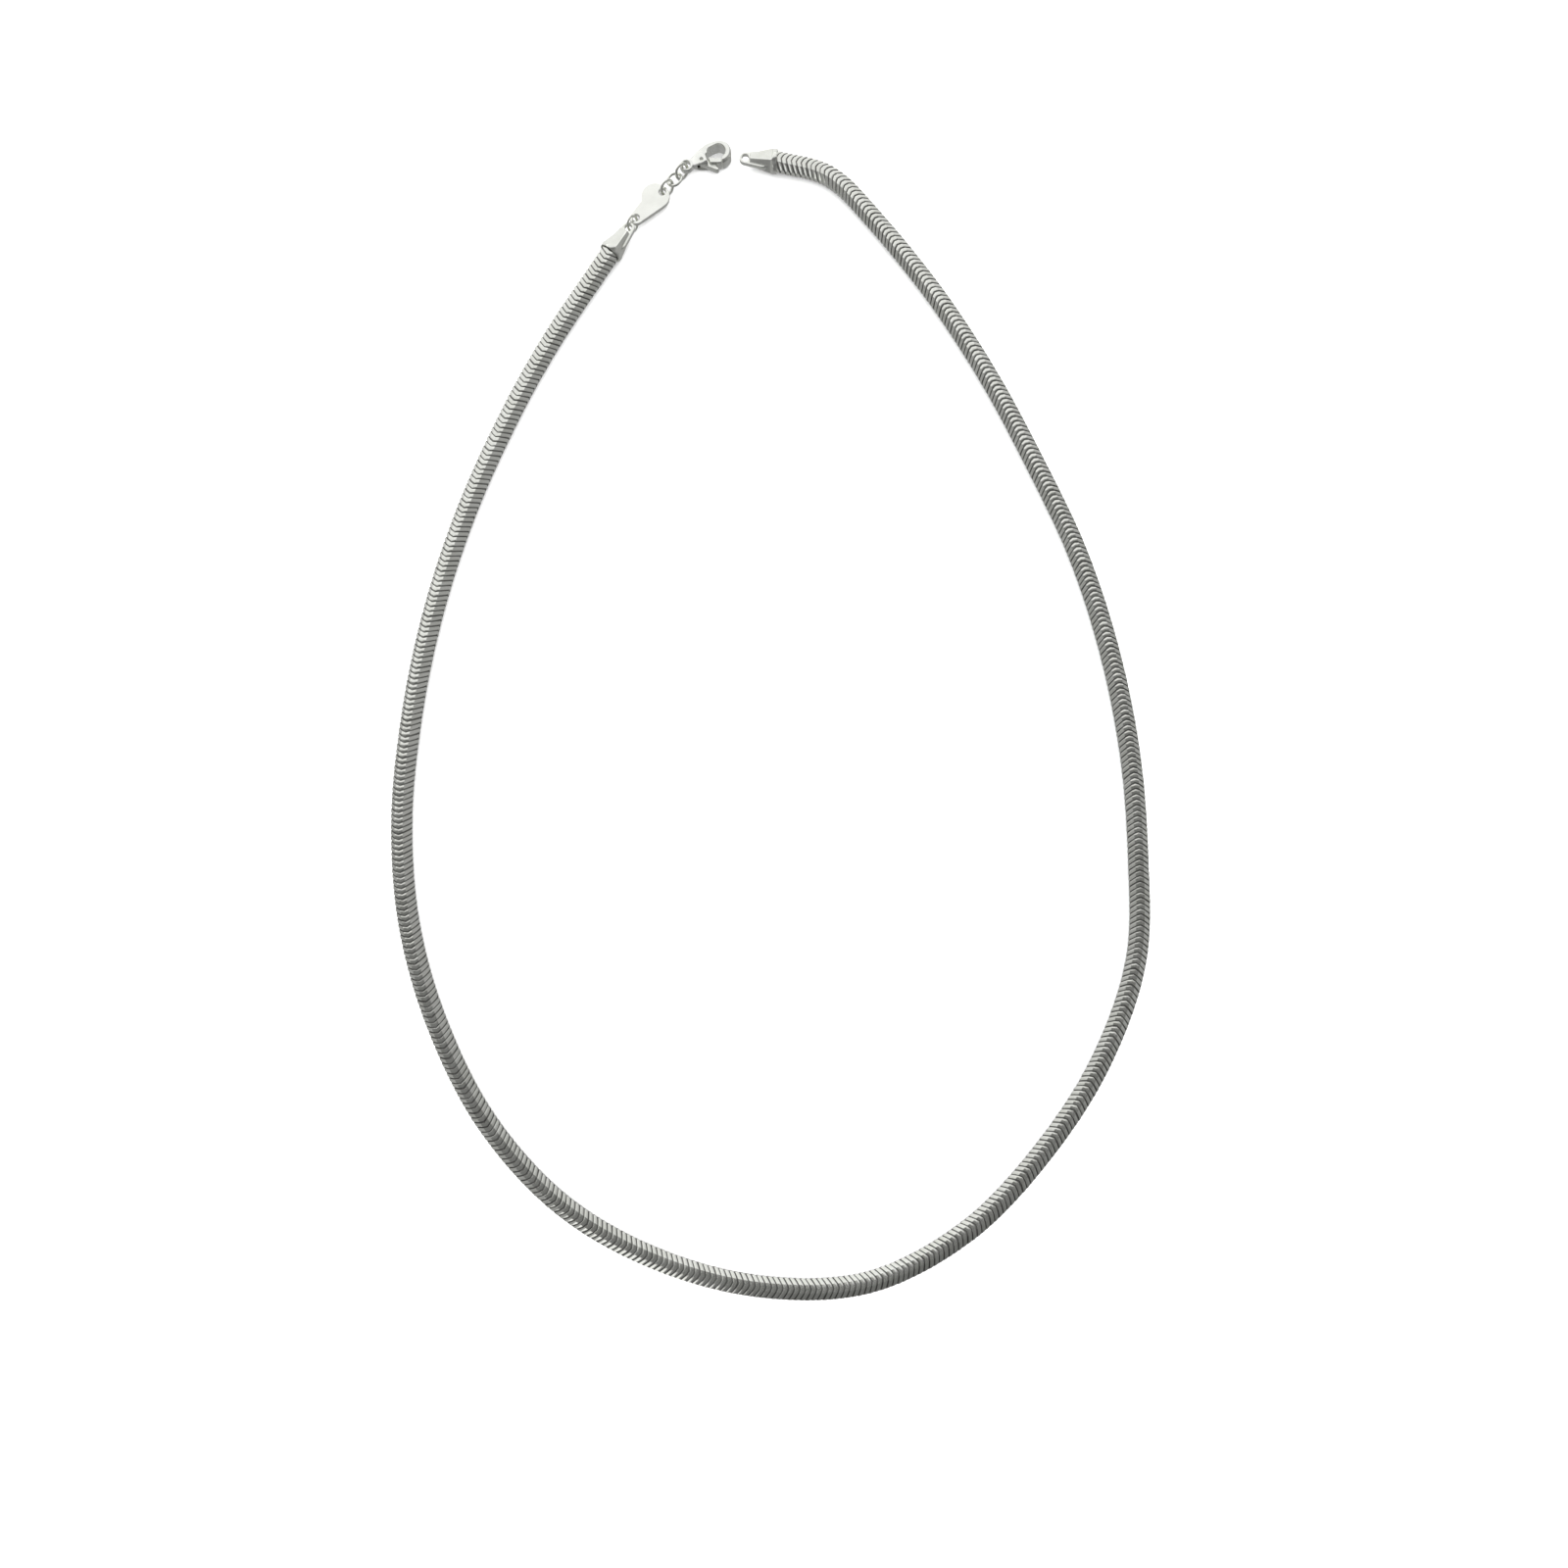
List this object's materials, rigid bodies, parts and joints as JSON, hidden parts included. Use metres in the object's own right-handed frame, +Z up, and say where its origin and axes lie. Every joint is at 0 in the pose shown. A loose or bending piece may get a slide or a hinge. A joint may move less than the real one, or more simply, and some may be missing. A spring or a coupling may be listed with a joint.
{
  "type": "snake chain necklace",
  "caption": "Silver snake chain necklace laid flat as a loop, with tapering end caps, a small paddle tag, short link run and a lobster clasp with a sprung lever.",
  "frame": {"origin": "middle of the necklace's box, on the surface that it lies on", "axes": "+Z up from the surface, +Y from the front of the loop towards its two ends, +X to the free end's side"},
  "size_m": [0.1154, 0.1811, 0.0037],
  "materials": {
    "chain": "polished silver",
    "fittings": "polished silver",
    "tag": "polished silver, unmarked",
    "clasp": "polished silver"
  },
  "bodies": {
    "necklace": {"snake_chain": "chain", "end_cap_clasp": "fittings", "end_cap_free": "fittings", "joining_ring": "fittings", "tag": "tag", "small_link_1": "fittings", "small_link_2": "fittings", "small_link_3": "fittings", "clasp_body": "clasp", "clasp_pin": "clasp"},
    "lever": {"clasp_lever": "clasp"}
  },
  "joints": [
    {"name": "lever_pivot", "type": "hinge", "parent": "necklace", "child": "lever", "pos_m": [-0.01104, 0.08717, 0.0012], "axis": [0, 0, 1], "range_deg": [0, 25], "stiffness_Nm_per_rad": 0.001, "springref_deg": -57.3}
  ]
}
